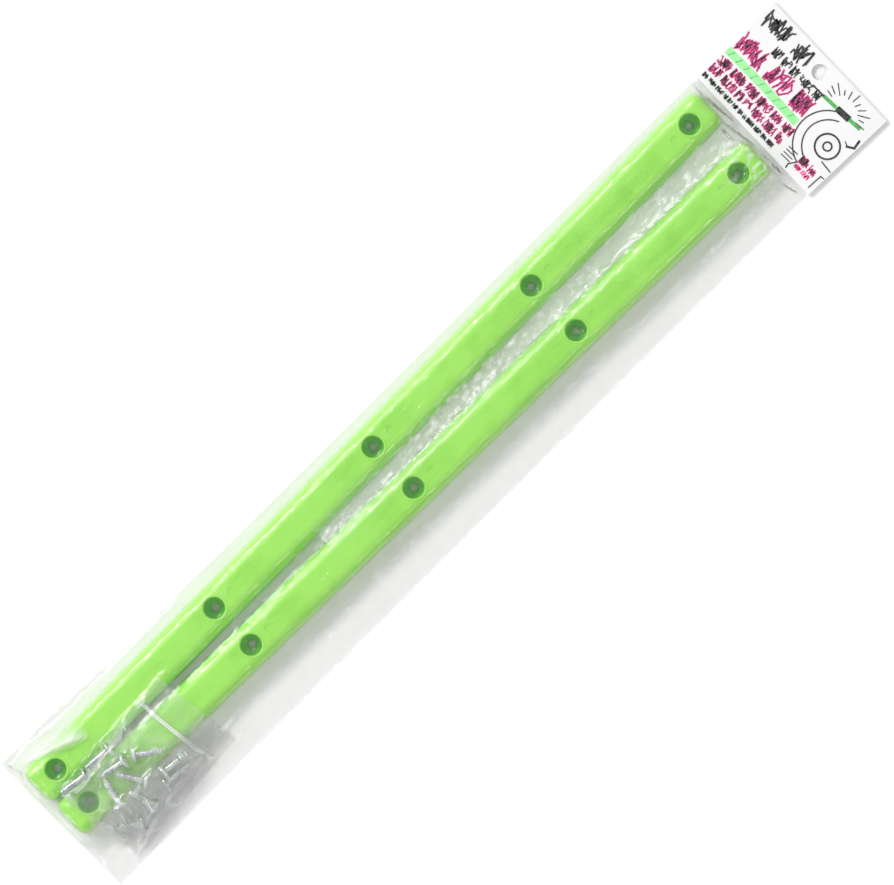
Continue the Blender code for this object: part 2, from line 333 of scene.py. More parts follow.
plastic = glow_plastic()
bar_mesh = rail_mesh()
bar_mesh.materials.clear()
bar_mesh.materials.append(plastic)
rails = []
for node_name, turn in RAIL_TURNS.items():
    low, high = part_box(node_name)
    rail = placed(node_name.replace("rail", "deck_rail"), bar_mesh)
    rail.location = ((low.x + high.x) / 2, (low.y + high.y) / 2, low.z)
    rail.rotation_euler.z = math.radians(turn)
    weighted = rail.modifiers.new("even shading", "WEIGHTED_NORMAL")
    weighted.keep_sharp = True
    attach(rail, node_name)
    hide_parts(node_name)
    rails.append(rail)


# ---------------------------------------------------------------- wood screws
# Ten zinc-plated steel screws, no. 6 by 1/2 in, lie loose: countersunk heads with a cross recess,
# a rolled thread up to the head and a sharp point.

SCREW_LONG = 12.7
HEAD_R = 3.3
HEAD_RIM = 0.3
HEAD_BEVEL = (0.06, 0.08)  # down and in
THREAD_R = 1.6
ROOT_R = 1.12
THREAD_PITCH = 1.3
THREAD_SHARP = 3.6
POINT_LONG = 3.4
SCREW_SIDES = 28
ROW = 0.13
RECESS = (3.5, 0.75, 2.6)
RECESS_AT = (0, 0, -0.4)
RECESS_TAPER = 0.3


def screw_radius(depth, turn):
    """The screw's radius, this far under its head's face and this share of a turn round."""
    cone = HEAD_R - max(depth - HEAD_RIM, 0)
    taper = min(1.0, math.sqrt(max(SCREW_LONG - depth, 0) / POINT_LONG))
    ridge = max(0.0, 1 - abs(((depth / THREAD_PITCH + turn) % 1.0) - 0.5) * THREAD_SHARP)
    thread = (ROOT_R + (THREAD_R - ROOT_R) * ridge) * taper
    return max(cone, thread)


def screw_mesh():
    """The screw, its point down, with its head's face at zero height."""
    down, inward = HEAD_BEVEL
    depths = [0.0, down, HEAD_RIM, *np.arange(HEAD_RIM + 0.4, SCREW_LONG - 0.05, ROW)]
    bm = bmesh.new()
    rings = []
    for depth in depths:
        ring = []
        for k in range(SCREW_SIDES):
            turn = k / SCREW_SIDES
            radius = screw_radius(depth, turn) - (inward if depth == 0 else 0)
            angle = 2 * math.pi * turn
            ring.append(bm.verts.new((radius * math.cos(angle), radius * math.sin(angle), -depth)))
        rings.append(ring)
    point = bm.verts.new((0, 0, -SCREW_LONG))
    for upper, lower in zip(rings, rings[1:]):
        for k in range(SCREW_SIDES):
            n = (k + 1) % SCREW_SIDES
            bm.faces.new((lower[k], lower[n], upper[n], upper[k]))
    for k in range(SCREW_SIDES):
        bm.faces.new((rings[-1][(k + 1) % SCREW_SIDES], rings[-1][k], point))
    bm.faces.new(rings[0])
    blank = link("screw_blank", bm)
    arms = []
    for k in range(2):
        arm = block(f"driver_{k}", RECESS, RECESS_AT, taper=RECESS_TAPER)
        arm.rotation_euler.z = k * math.pi / 2
        joined(blank, arm, "DIFFERENCE")
        arms.append(arm)
    return finished_mesh(blank, arms, crease=40)


def zinc_plate():
    """Bright zinc over steel: a little uneven, with slight handling marks."""
    mat, tree, node, wire, shader = nodes_of("zinc_plate")
    where = node("ShaderNodeTexCoord")
    blotch = node("ShaderNodeTexNoise", Scale=420.0, Detail=5.0, Roughness=0.6)
    tone = two_tones(node, 0.35, (0.5, 0.54, 0.58), 0.7, (0.9, 0.92, 0.93))
    dull = node("ShaderNodeMapRange", To_Min=0.06, To_Max=0.24)
    bump = node("ShaderNodeBump", Strength=0.25, Distance=0.00005)
    wire(where.outputs["Object"], blotch.inputs["Vector"])
    wire(blotch.outputs["Fac"], tone.inputs["Fac"])
    wire(tone.outputs["Color"], shader.inputs["Base Color"])
    wire(blotch.outputs["Fac"], dull.inputs["Value"])
    wire(dull.outputs["Result"], shader.inputs["Roughness"])
    wire(blotch.outputs["Fac"], bump.inputs["Height"])
    wire(bump.outputs["Normal"], shader.inputs["Normal"])
    shader.inputs["Metallic"].default_value = 1.0
    return mat


def axis_of(node_name):
    """The middle of a screw's head face and its point, in metres, from its CAD mesh."""
    verts = np.array([v.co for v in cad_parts[node_name].data.vertices])
    point = verts[np.argmax(np.linalg.norm(verts - verts.mean(0), axis=1))]
    reach = np.linalg.norm(verts - point, axis=1)
    rim = verts[reach > reach.max() - 0.02 * MM]  # all of it is equally far from the point
    return Vector(rim.mean(0)), Vector(point)


screw_shape = screw_mesh()
screw_shape.materials.clear()
screw_shape.materials.append(zinc_plate())
screws = []
for node_name in sorted(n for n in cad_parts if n.startswith("screw_") and n[-1].isdigit()):
    head, point = axis_of(node_name)
    screw = placed(node_name.replace("screw", "wood_screw"), screw_shape)
    screw.location = head
    screw.rotation_mode = "QUATERNION"
    screw.rotation_quaternion = (head - point).to_track_quat("Z", "Y")
    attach(screw, "screw_bag")
    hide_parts(node_name)
    screws.append(screw)


# ---------------------------------------------------------------- press-seal bag
# The screws' own small bag is two layers of thin polyethylene, welded down both sides and across
# its foot. It lies askew over the lower rail, and its film falls slack between the screws.

POUCH_END = (-198.3, -11.1)
POUCH_TURN = 5.6
POUCH_LONG = 59.0
POUCH_WIDE = 37.9
POUCH_GROUND = ((-215, -45), (-120, 30))
POUCH_SLACK = 1.012
CELL = 0.8
FILM_GAP = 0.12  # how far a film keeps off what it lies on
CAD_INSET = 0.25  # how far the CAD film's edge lies inside the outline
OVERHEAD = 60.0  # above everything in the pack
KEPT_SPEED = 0.6
PULL_ROUNDS = 3
DIAGONAL_PULL = 0.25
FILM_INDEX = 1.5
# How white crease wear and painted glints make the film.
WEAR_AND_GLINT_WHITE = 0.55
PLEAT_SHARP = 0.3  # a bend this high over one cell is fully whitened, by crease wear and painted glint


def tree_of(objects):
    """One search tree over the objects' shapes, in millimetres."""
    verts, faces = [], []
    graph = bpy.context.evaluated_depsgraph_get()
    graph.update()
    for obj in objects:
        start = len(verts)
        mesh = obj.evaluated_get(graph).data
        verts += [obj.matrix_world @ v.co / MM for v in mesh.vertices]
        faces += [[start + i for i in p.vertices] for p in mesh.polygons]
    return BVHTree.FromPolygons(verts, faces)


def tops(tree, x, y, base):
    """How high the shapes in the tree reach at each place, or the base beside them."""
    found = np.full(x.shape, base, float)
    down = Vector((0, 0, -1))
    for place in np.ndindex(x.shape):
        hit = tree.ray_cast(Vector((x[place], y[place], OVERHEAD)), down)[0]
        if hit is not None:
            found[place] = max(base, hit.z)
    return found


class Ground:
    """A height over a fine level grid, read at any place between its points."""

    STEP = 0.5

    def __init__(self, low, high):
        self.low = low
        sides = [np.arange(start, end, self.STEP) for start, end in zip(low, high)]
        self.x, self.y = np.meshgrid(*sides, indexing="ij")
        self.z = np.zeros(self.x.shape)

    def lay(self, objects, spread=0, shifts=(0.0,)):
        """Puts the objects' tops on the grid, widened by some steps and slid along X."""
        height = tops(tree_of(objects), self.x, self.y, 0.0)
        for _ in range(spread):
            wide = height.copy()
            wide[1:] = np.maximum(wide[1:], height[:-1])
            wide[:-1] = np.maximum(wide[:-1], height[1:])
            wide[:, 1:] = np.maximum(wide[:, 1:], height[:, :-1])
            wide[:, :-1] = np.maximum(wide[:, :-1], height[:, 1:])
            height = wide
        for shift in shifts:
            self.z = np.maximum(self.z, np.roll(height, round(shift / self.STEP), axis=0))

    def at(self, x, y):
        """The height at any places, evenly between the grid's points."""
        i = np.clip((x - self.low[0]) / self.STEP, 0, self.z.shape[0] - 1.001)
        j = np.clip((y - self.low[1]) / self.STEP, 0, self.z.shape[1] - 1.001)
        a, b = i.astype(int), j.astype(int)
        s, t = i - a, j - b
        z = self.z
        near = z[a, b] * (1 - t) + z[a, b + 1] * t
        far = z[a + 1, b] * (1 - t) + z[a + 1, b + 1] * t
        return near * (1 - s) + far * s


def rough_up(points, held, lumps):
    """A copy of the points, with those that aren't held lifted by noise.

    Each of the lumps has a size, a height, and an offset that picks its own noise.
    """
    points = points.copy()
    for size, high, offset in lumps:
        for place in zip(*np.where(~held)):
            spot = Vector(points[place]) / size
            points[place][2] += high * noise.noise(spot + Vector((offset, 0, 0)))
    return points


def settle(points, rest_u, rest_v, held, ground, gap, steps, weight, limp):
    """Lets a film of fixed size fall on what is under it, so that its slack buckles.

    Each step keeps the film's threads, along and across and on both diagonals, at their
    lengths, evens out sharp bends by a share (limp is little), and keeps it off the ground.
    """
    free = np.where(held, 0.0, 1.0)
    rest_d = np.hypot(rest_u[:, :-1] + rest_u[:, 1:], rest_v[:-1] + rest_v[1:]) / 2

    def pull(a, b, rest, wa, wb):
        """How far the ends of threads move for each thread to have its length again."""
        gone = b - a
        long = np.maximum(np.linalg.norm(gone, axis=-1), 1e-6)
        share = ((long - rest) / long / np.maximum(wa + wb, 1e-6))[..., None] * gone
        return share * wa[..., None], share * wb[..., None]

    before = points.copy()
    for _ in range(steps):
        drift = (points - before) * KEPT_SPEED
        before = points.copy()
        points = points + drift * free[..., None]
        points[..., 2] -= weight * free
        for _ in range(PULL_ROUNDS):
            for odd in (0, 1):
                a, b, pairs = slice(odd, -1, 2), slice(odd + 1, None, 2), slice(odd, None, 2)
                da, db = pull(points[a], points[b], rest_u[pairs], free[a], free[b])
                points[a] += da
                points[b] -= db
                rest = rest_v[:, pairs]
                da, db = pull(points[:, a], points[:, b], rest, free[:, a], free[:, b])
                points[:, a] += da
                points[:, b] -= db
            near, far = free[:-1, :-1], free[1:, 1:]
            da, db = pull(points[:-1, :-1], points[1:, 1:], rest_d, near, far)
            points[:-1, :-1] += DIAGONAL_PULL * da
            points[1:, 1:] -= DIAGONAL_PULL * db
            near, far = free[:-1, 1:], free[1:, :-1]
            da, db = pull(points[:-1, 1:], points[1:, :-1], rest_d, near, far)
            points[:-1, 1:] += DIAGONAL_PULL * da
            points[1:, :-1] -= DIAGONAL_PULL * db
        even = points.copy()
        even[1:-1] += limp * (points[:-2] + points[2:] - 2 * points[1:-1])
        even[:, 1:-1] += limp * (points[:, :-2] + points[:, 2:] - 2 * points[:, 1:-1])
        points = np.where(held[..., None], points, even)
        floor = ground.at(points[..., 0], points[..., 1]) + gap
        points[..., 2] = np.where(held, points[..., 2], np.maximum(points[..., 2], floor))
    return points


def spans(points, axis):
    """The distance from each point to the next one, along one way of the grid."""
    return np.linalg.norm(np.diff(points, axis=axis), axis=-1)


def grid_faces(rows, cols, start=0, flip=False):
    """The quads of a grid of points that are numbered row by row."""
    faces = []
    for i in range(rows - 1):
        for j in range(cols - 1):
            a = start + i * cols + j
            quad = (a, a + cols, a + cols + 1, a + 1)
            faces.append(quad[::-1] if flip else quad)
    return faces


def film_object(name, verts, faces, mat):
    """A smooth film from points in millimetres."""
    mesh = bpy.data.meshes.new(name)
    mesh.from_pydata((np.asarray(verts) * MM).tolist(), [], faces)
    mesh.polygons.foreach_set("use_smooth", [True] * len(mesh.polygons))
    mesh.materials.append(mat)
    return placed(name, mesh)


def film_finish(name, through, haze, haze_tone, gloss, rough, crinkle, fine):
    """Clear film: it lets light through, mirrors a little by angle, and is faintly milky, milkier
    where crease wear and painted glints are marked.

    A film's two faces bend light opposite ways, so its index is inverted from behind.
    """
    mat, tree, node, wire, milk = nodes_of(name)
    out = tree.nodes["Material Output"]
    where = node("ShaderNodeTexCoord")
    broad = node("ShaderNodeTexNoise", Scale=170.0, Detail=4.0, Roughness=0.55)
    small = node("ShaderNodeTexNoise", Scale=900.0, Detail=3.0, Roughness=0.6)
    patches = node("ShaderNodeTexNoise", Scale=38.0, Detail=2.0)
    span = {"To_Min": crinkle * 0.3, "To_Max": crinkle * 1.7}
    patchy = node("ShaderNodeMapRange", From_Min=0.35, From_Max=0.65, **span)
    # Crease wear and painted glints: the attribute adds white milk and deeper crinkles.
    wear_and_glint = node("ShaderNodeAttribute")
    wear_and_glint.attribute_name = "wear_and_glint"
    creased = node("ShaderNodeMath")
    creased.operation = "ADD"
    whiter = node("ShaderNodeMath")
    whiter.operation = "MULTIPLY_ADD"
    whiter.inputs[1].default_value = WEAR_AND_GLINT_WHITE
    first = node("ShaderNodeBump", Distance=0.0012)
    second = node("ShaderNodeBump", Strength=fine, Distance=0.0003)
    clear = node("ShaderNodeBsdfTransparent", Color=(*through, 1))
    mirror = node("ShaderNodeBsdfGlossy", Color=(1, 1, 1, 1), Roughness=rough)
    angle = node("ShaderNodeFresnel")
    side = node("ShaderNodeNewGeometry")
    index = node("ShaderNodeMapRange", To_Min=FILM_INDEX, To_Max=1 / FILM_INDEX)
    more = node("ShaderNodeMath")
    more.operation = "MULTIPLY"
    more.use_clamp = True
    more.inputs[1].default_value = gloss
    span = {"To_Min": haze * 0.5, "To_Max": haze * 1.5}
    cloud = node("ShaderNodeMapRange", From_Min=0.3, From_Max=0.7, **span)
    veil = node("ShaderNodeMixShader")
    surface = node("ShaderNodeMixShader")
    for pattern in (broad, small, patches):
        wire(where.outputs["Object"], pattern.inputs["Vector"])
    wire(broad.outputs["Fac"], first.inputs["Height"])
    wire(first.outputs["Normal"], second.inputs["Normal"])
    wire(small.outputs["Fac"], second.inputs["Height"])
    for lit in (mirror, angle, milk):
        wire(second.outputs["Normal"], lit.inputs["Normal"])
    wire(patches.outputs["Fac"], patchy.inputs["Value"])
    wire(patchy.outputs["Result"], creased.inputs[0])
    wire(wear_and_glint.outputs["Fac"], creased.inputs[1])
    wire(creased.outputs[0], first.inputs["Strength"])
    wire(broad.outputs["Fac"], cloud.inputs["Value"])
    wire(wear_and_glint.outputs["Fac"], whiter.inputs[0])
    wire(cloud.outputs["Result"], whiter.inputs[2])
    wire(whiter.outputs[0], veil.inputs["Fac"])
    wire(clear.outputs["BSDF"], veil.inputs[1])
    wire(milk.outputs["BSDF"], veil.inputs[2])
    wire(side.outputs["Backfacing"], index.inputs["Value"])
    wire(index.outputs["Result"], angle.inputs["IOR"])
    wire(angle.outputs["Fac"], more.inputs[0])
    wire(more.outputs[0], surface.inputs["Fac"])
    wire(veil.outputs["Shader"], surface.inputs[1])
    wire(mirror.outputs["BSDF"], surface.inputs[2])
    wire(surface.outputs["Shader"], out.inputs["Surface"])
    milk.inputs["Base Color"].default_value = (*haze_tone, 1)
    milk.inputs["Roughness"].default_value = 0.6
    return mat


def pouch_place(along, across):
    """A place on the little bag, in the pack's own frame."""
    turn = math.radians(POUCH_TURN)
    x = POUCH_END[0] + along * math.cos(turn) - across * math.sin(turn)
    y = POUCH_END[1] + along * math.sin(turn) + across * math.cos(turn)
    return x, y


def evened(height, passes):
    """The height with its creases evened out, its border kept."""
    for _ in range(passes):
        mean = height.copy()
        mean[1:-1, 1:-1] = (
            height[:-2, 1:-1] + height[2:, 1:-1] + height[1:-1, :-2] + height[1:-1, 2:]
        ) / 4
        height = mean
    return height


def held_border(shape):
    """Marks the outermost points of a grid."""
    held = np.ones(shape, bool)
    held[1:-1, 1:-1] = False
    return held


frosted = film_finish(
    "frosted_film",
    through=(0.996, 0.998, 0.996),
    haze=0.045,
    haze_tone=(0.92, 0.95, 0.93),
    gloss=0.65,
    rough=0.13,
    crinkle=0.7,
    fine=0.2,
)
half_wide = POUCH_WIDE / 2
along = np.linspace(0, POUCH_LONG, round(POUCH_LONG / CELL) + 1)
across = np.linspace(-half_wide, half_wide, round(POUCH_WIDE / CELL) + 1)
along, across = np.meshgrid(along, across, indexing="ij")
pouch_x, pouch_y = pouch_place(along, across)
read_x, read_y = pouch_place(
    np.clip(along, CAD_INSET, POUCH_LONG - CAD_INSET),
    np.clip(across, CAD_INSET - half_wide, half_wide - CAD_INSET),
)
back_tree = tree_of([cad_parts["screw_bag_back"]])
front_tree = tree_of([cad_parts["screw_bag_front"]])
back_z = tops(back_tree, read_x, read_y, 0.3) - FILM_GAP
front_z = tops(front_tree, read_x, read_y, 0.3) - FILM_GAP
pouch_back = np.stack([pouch_x, pouch_y, back_z], axis=-1)
pouch_front = np.stack([pouch_x, pouch_y, evened(front_z, 6)], axis=-1)
rim = held_border(along.shape)
pouch_front[rim] = pouch_back[rim] + (0, 0, FILM_GAP)
under_pouch = Ground(*POUCH_GROUND)
under_pouch.lay(screws, spread=1)
pouch_ground = Ground(*POUCH_GROUND)
pouch_ground.lay([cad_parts["screw_bag_back"]])
pouch_ground.z = np.maximum(pouch_ground.z, under_pouch.z)
pouch_front = settle(
    rough_up(pouch_front, rim, ((6.0, 0.5, 3.0),)),
    rest_u=spans(pouch_front, 0) * POUCH_SLACK,
    rest_v=spans(pouch_front, 1) * POUCH_SLACK,
    held=rim,
    ground=pouch_ground,
    gap=FILM_GAP,
    steps=220,
    weight=0.02,
    limp=0.06,
)
rows, cols = along.shape
pouch = film_object(
    "screw_pouch",
    np.concatenate([pouch_front.reshape(-1, 3), pouch_back.reshape(-1, 3)]),
    grid_faces(rows, cols) + grid_faces(rows, cols, rows * cols, flip=True),
    frosted,
)
# The pouch's front is whitened along its sharp bends, partly crease wear and partly painted glints
# round the screws.
pleats = np.zeros((2, rows, cols))
pleats[0] = np.abs(pouch_front[..., 2] - evened(pouch_front[..., 2], 1)) / PLEAT_SHARP
pouch_wear_and_glint = pouch.data.attributes.new("wear_and_glint", "FLOAT", "POINT")
pouch_wear_and_glint.data.foreach_set("value", np.minimum(pleats, 1).ravel())
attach(pouch, "screw_bag")
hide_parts("screw_bag_back", "screw_bag_front")


# ---------------------------------------------------------------- press seal
# A rib on one film snaps into a groove on the other, right across the little bag's mouth. Both
# are extruded with the film, of the same polyethylene, and look whiter because they are thick.

ZIP_AT = 47.0
SEAL_LINES = {"zip_rib": ZIP_AT - 0.38, "zip_groove": ZIP_AT + 0.38}
SEAL_WIDE = 0.7
SEAL_LIFT = 0.05


def seal_plastic():
    """Thick milky polyethylene."""
    mat, tree, node, wire, shader = nodes_of("seal_plastic")
    where = node("ShaderNodeTexCoord")
    cloud = node("ShaderNodeTexNoise", Scale=300.0, Detail=3.0)
    share = node("ShaderNodeMapRange", To_Min=0.6, To_Max=1.0)
    clear = node("ShaderNodeBsdfTransparent", Color=(0.95, 0.96, 0.95, 1))
    mixed = node("ShaderNodeMixShader")
    wire(where.outputs["Object"], cloud.inputs["Vector"])
    wire(cloud.outputs["Fac"], share.inputs["Value"])
    wire(share.outputs["Result"], mixed.inputs["Fac"])
    wire(clear.outputs["BSDF"], mixed.inputs[1])
    wire(shader.outputs["BSDF"], mixed.inputs[2])
    wire(mixed.outputs["Shader"], tree.nodes["Material Output"].inputs["Surface"])
    shader.inputs["Base Color"].default_value = (0.95, 0.98, 0.94, 1)
    shader.inputs["Roughness"].default_value = 0.3
    return mat


seal_mat = seal_plastic()
for node_name, at in SEAL_LINES.items():
    row = at / POUCH_LONG * (rows - 1)
    i, share = int(row), row % 1
    middle = pouch_front[i] * (1 - share) + pouch_front[i + 1] * share
    curve = bpy.data.curves.new(node_name, "CURVE")
    curve.dimensions = "3D"
    curve.bevel_depth = SEAL_WIDE / 2 * MM
    curve.bevel_resolution = 2
    curve.use_fill_caps = True
    spline = curve.splines.new("POLY")
    run = middle[1:-1] + (0, 0, SEAL_LIFT)
    run[:, 2] = np.maximum(run[:, 2], SEAL_WIDE / 2 + SEAL_LIFT)
    spline.points.add(len(run) - 1)
    for spot, place in zip(spline.points, run):
        spot.co = (*(place * MM), 1)
    curve.materials.append(seal_mat)
    seal = placed(node_name.replace("zip", "seal"), curve)
    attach(seal, "screw_bag")
    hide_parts(node_name)


# ---------------------------------------------------------------- the bag
# One flat tube of clear polypropylene film, welded across its foot. It lies slack over the rails,
# tight to their ends, and its flattened mouth runs up into the folded card.

BAG_X0 = -208.77
BAG_X1 = 164.7
BAG_EDGES = (-31.6, 29.8)
BAG_FLARES = ((-0.8, 30), (3.5, 55))  # how far out at the foot, and over what length
BAG_GROUND = ((-215, -40), (172, 40))
BAG_SLACK = (1.008, 1.01)
RAIL_SHIFTS = (-1.5, 0, 0.5)  # room for the slides
POUCH_SHIFTS = (0, 1.5, 3)
OVER_RAILS = 0.25
FLAT_IN = 1.2  # where a shoulder turns into the rail's flat top
ENDS_IN = (2.0, 1.6)
END_ROWS = 9
END_BUNCH = 1.2
BAG_COLUMNS = 92
EDGE_SAMPLES = 700
NECK_END = 188.5
NECK_ROWS = 20
NECK_RUN = 2
NECK_Z = 0.72
SEAM_Z = 0.4
TABLE_GAP = 0.08
FOLD_OUT = 0.15
PINCH_FROM = (-205.0, 29.0)
PINCH_TO = (-175.5, 16.8)
PINCH_HIGH = 2.6
PINCH_GENTLE = 6.0
PINCH_STEEP = 2.2
GAP_Y = 6.2
GAP_HALF = 4.0
GAP_FROM = -60.0
CREASE_ALONG = 1.6  # creases are this much longer along the pack
CREASE_LONG = 5.5
CREASE_SHORT = 2.6
# The size of the white specks' noise; the specks are painted glints.
GLINT_SPECK_SIZE = 1.9
DRIFT_SIZE = 22
# Patches of painted glint on the film: their middles and reaches.
GLINT_TUFTS = [((160.0, -11.0), 5.0), ((-173.5, 5.8), 2.6), ((-196.0, 6.2), 1.6)]


def bag_edges(x):
    """The bag's low and high edges: its foot flares to the film's full flat width."""
    flares = [out * np.exp((BAG_X0 - x) / over) for out, over in BAG_FLARES]
    return [edge + flare for edge, flare in zip(BAG_EDGES, flares)]


upper_rail, lower_rail = (obj.location / MM for obj in rails)
core_x = lower_rail.x
core_z = RAIL_HIGH + lower_rail.z + OVER_RAILS
core_x0 = core_x - RAIL_LONG / 2 + ENDS_IN[0]
core_x1 = core_x + RAIL_LONG / 2 - ENDS_IN[1]


def core_edges(x):
    """The outer edges of the two rails' flat tops, as one."""
    flat = RAIL_WIDE / 2 - SIDE_DRAFT - FLAT_IN
    low = lower_rail.y + (x - core_x) * math.tan(math.radians(RAIL_TURNS["lower_rail"]))
    high = upper_rail.y + (x - core_x) * math.tan(math.radians(RAIL_TURNS["upper_rail"]))
    return low - flat, high + flat


def tent(x, y):
    """The film drawn straight from the rails' tops to the bag's edges and ends."""
    low_y, high_y = bag_edges(x)
    core_low, core_high = core_edges(x)
    off_x = np.maximum(core_x0 - x, 0) + np.maximum(x - core_x1, 0)
    off_y = np.maximum(core_low - y, 0) + np.maximum(y - core_high, 0)
    room_x = np.where(x < core_x, x - BAG_X0, BAG_X1 - x)
    room_y = np.minimum(y - low_y, high_y - y)
    share_x = off_x / np.maximum(off_x + room_x, 1e-6)
    share_y = off_y / np.maximum(off_y + room_y, 1e-6)
    share = np.clip(np.maximum(share_x, share_y), 0, 1)
    return core_z + (SEAM_Z - core_z) * share


def bag_grid():
    """Places over the bag, close together where the film is steep."""
    ends = np.linspace(0, 1, END_ROWS) ** END_BUNCH
    x = np.concatenate(
        [
            BAG_X0 + ends[:-1] * (core_x0 - BAG_X0),
            np.linspace(core_x0, core_x1, round((core_x1 - core_x0) / CELL) + 1),
            BAG_X1 - ends[-2::-1] * (BAG_X1 - core_x1),
        ]
    )
    grid = np.zeros((len(x), BAG_COLUMNS, 3))
    for i, row_x in enumerate(x):
        y = np.linspace(*bag_edges(row_x), EDGE_SAMPLES)
        z = tent(np.full(y.shape, row_x), y)
        run = np.concatenate([[0], np.cumsum(np.hypot(np.diff(y), np.diff(z)))])
        even = np.interp(np.linspace(0, run[-1], BAG_COLUMNS), run, y)
        grid[i, :, 0] = row_x
        grid[i, :, 1] = even
        grid[i, :, 2] = np.interp(even, y, z)
    return grid


def pinch(x, y):
    """The ridge that runs in from a corner of the foot, over the upper rail's end."""
    long = math.dist(PINCH_FROM, PINCH_TO)
    way = ((PINCH_TO[0] - PINCH_FROM[0]) / long, (PINCH_TO[1] - PINCH_FROM[1]) / long)
    gone = (x - PINCH_FROM[0], y - PINCH_FROM[1])
    run = (gone[0] * way[0] + gone[1] * way[1]) / long
    off = gone[1] * way[0] - gone[0] * way[1]
    if not 0 < run < 1:
        return 0.0
    side = PINCH_GENTLE if off > 0 else PINCH_STEEP
    return PINCH_HIGH * min(1, 3 * run, 6 * (1 - run)) * max(0.0, 1 - abs(off) / side)


def crumple(points, held, ground, gap):
    """Creases the film as handling does, and returns how white each place is made, by crease wear
    and painted glints.

    The creases are deepest at the bag's ends and between the rails, and come and go slowly.
    White specks between the rails and in the tufts are painted glints, and the ridge and the gap
    between the rails are whitened as painted highlights.
    """
    wear_and_glint = np.zeros(held.shape)
    for place in zip(*np.where(~held)):
        x, y, z = points[place]
        spot = Vector((x / CREASE_ALONG, y, z))
        drift = max(0.0, 0.5 + 1.3 * noise.noise(spot / DRIFT_SIZE + Vector((5, 0, 0))))
        ends = math.exp(-abs(x - BAG_X1) / 9) + 0.5 * math.exp(-abs(x - BAG_X0) / 12)
        crease = 0.55 - abs(noise.noise(spot / CREASE_LONG))
        crease -= 0.7 * abs(noise.noise(spot / CREASE_SHORT))
        ridge = pinch(x, y)
        between = math.exp(-(((y - GAP_Y) / GAP_HALF) ** 2)) * (x > GAP_FROM)
        deep = 0.28 + 0.35 * drift + 0.6 * ends + 0.5 * between
        points[place][2] += deep * crease + ridge
        # Painted glints and highlights: white specks and tufts, the ridge and the gap between the
        # rails.
        glint_tuft = max(math.exp(-math.dist((x, y), at) / reach) for at, reach in GLINT_TUFTS)
        glint_speck = max(0.0, 2.2 * noise.noise(spot / GLINT_SPECK_SIZE))
        glint_specks = glint_speck * (0.9 * between * drift + 3.0 * glint_tuft)
        wear_and_glint[place] = min(1.0, 1.1 * ridge / PINCH_HIGH + glint_specks + 0.45 * between)
    floor = ground.at(points[..., 0], points[..., 1]) + gap
    points[..., 2] = np.where(held, points[..., 2], np.maximum(points[..., 2], floor))
    return wear_and_glint


front = bag_grid()
bag_held = held_border(front.shape[:2])
bag_ground = Ground(*BAG_GROUND)
bag_ground.lay(rails, spread=1, shifts=RAIL_SHIFTS)
bag_ground.lay([pouch], spread=1, shifts=POUCH_SHIFTS)
lifted = np.maximum(front[..., 2], bag_ground.at(front[..., 0], front[..., 1]) + 0.3)
front[..., 2] = np.where(bag_held, front[..., 2], lifted)
for _ in range(12):
    smooth = evened(front[..., 2], 1)
    front[..., 2] = np.where(bag_held, front[..., 2], np.maximum(smooth, lifted))
front = settle(
    rough_up(front, bag_held, ((4.0, 0.9, 7.0), (14.0, 1.6, 21.0))),
    rest_u=spans(front, 0) * BAG_SLACK[0],
    rest_v=spans(front, 1) * BAG_SLACK[1],
    held=bag_held,
    ground=bag_ground,
    gap=0.3,
    steps=240,
    weight=0.012,
    limp=0.04,
)
wear_and_glint = crumple(front, bag_held, bag_ground, FILM_GAP)
clear = film_finish(
    "clear_film",
    through=(0.972, 0.973, 0.97),
    haze=0.02,
    haze_tone=(0.92, 0.92, 0.91),
    gloss=1.4,
    rough=0.17,
    crinkle=0.8,
    fine=0.2,
)
neck_x = np.linspace(BAG_X1, NECK_END, NECK_ROWS)[1:]
neck = np.zeros((len(neck_x), BAG_COLUMNS, 3))
for i, x in enumerate(neck_x):
    neck[i, :, 0] = x
    neck[i, :, 1] = np.linspace(*bag_edges(x), BAG_COLUMNS)
    rise = min(1, (x - BAG_X1) / NECK_RUN)
    neck[i, :, 2] = SEAM_Z + (NECK_Z + FILM_GAP - SEAM_Z) * rise
upper = np.concatenate([front, neck])
lower = upper.copy()
lower[..., 2] = NECK_Z * np.clip((lower[..., 0] - BAG_X1) / NECK_RUN, 0, 1)
lower[..., 2] = np.maximum(lower[..., 2], TABLE_GAP)
for place in np.ndindex(lower.shape[:2]):
    lower[place][2] += 0.1 * abs(noise.noise(Vector(lower[place]) / 14))
near_fold = (upper[:, :1] + lower[:, :1]) / 2 - (0, FOLD_OUT, 0)
far_fold = (upper[:, -1:] + lower[:, -1:]) / 2 + (0, FOLD_OUT, 0)
loop = np.concatenate([upper, far_fold, lower[:, ::-1], near_fold], axis=1)
rows, cols = loop.shape[:2]
faces = grid_faces(rows, cols)
for i in range(rows - 1):
    a = i * cols + cols - 1
    faces.append((a, a + cols, (i + 1) * cols, i * cols))
bag = film_object("bag_film", loop.reshape(-1, 3), faces, clear)
# The upper film carries the crumpling's crease wear and painted glints.
whole = np.zeros((rows, cols))
whole[: wear_and_glint.shape[0], : wear_and_glint.shape[1]] = wear_and_glint
bag.data.attributes.new("wear_and_glint", "FLOAT", "POINT").data.foreach_set("value", whole.ravel())
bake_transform(bag)
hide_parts("bag_front", "bag_back", "bag_neck")


# ---------------------------------------------------------------- header card
# One sheet of white board, printed on its face and folded over the bag's mouth, with a hole
# punched through both leaves to hang the pack by.

CARD_AT = (187.0, -1.45)
CARD_TURN = -1.6
CARD_DEEP = 41.8
CARD_WIDE = 62.6
CARD_HIGH = 1.75
BOARD = 0.35
HANG_R = 3.175
HANG_IN = 6.2


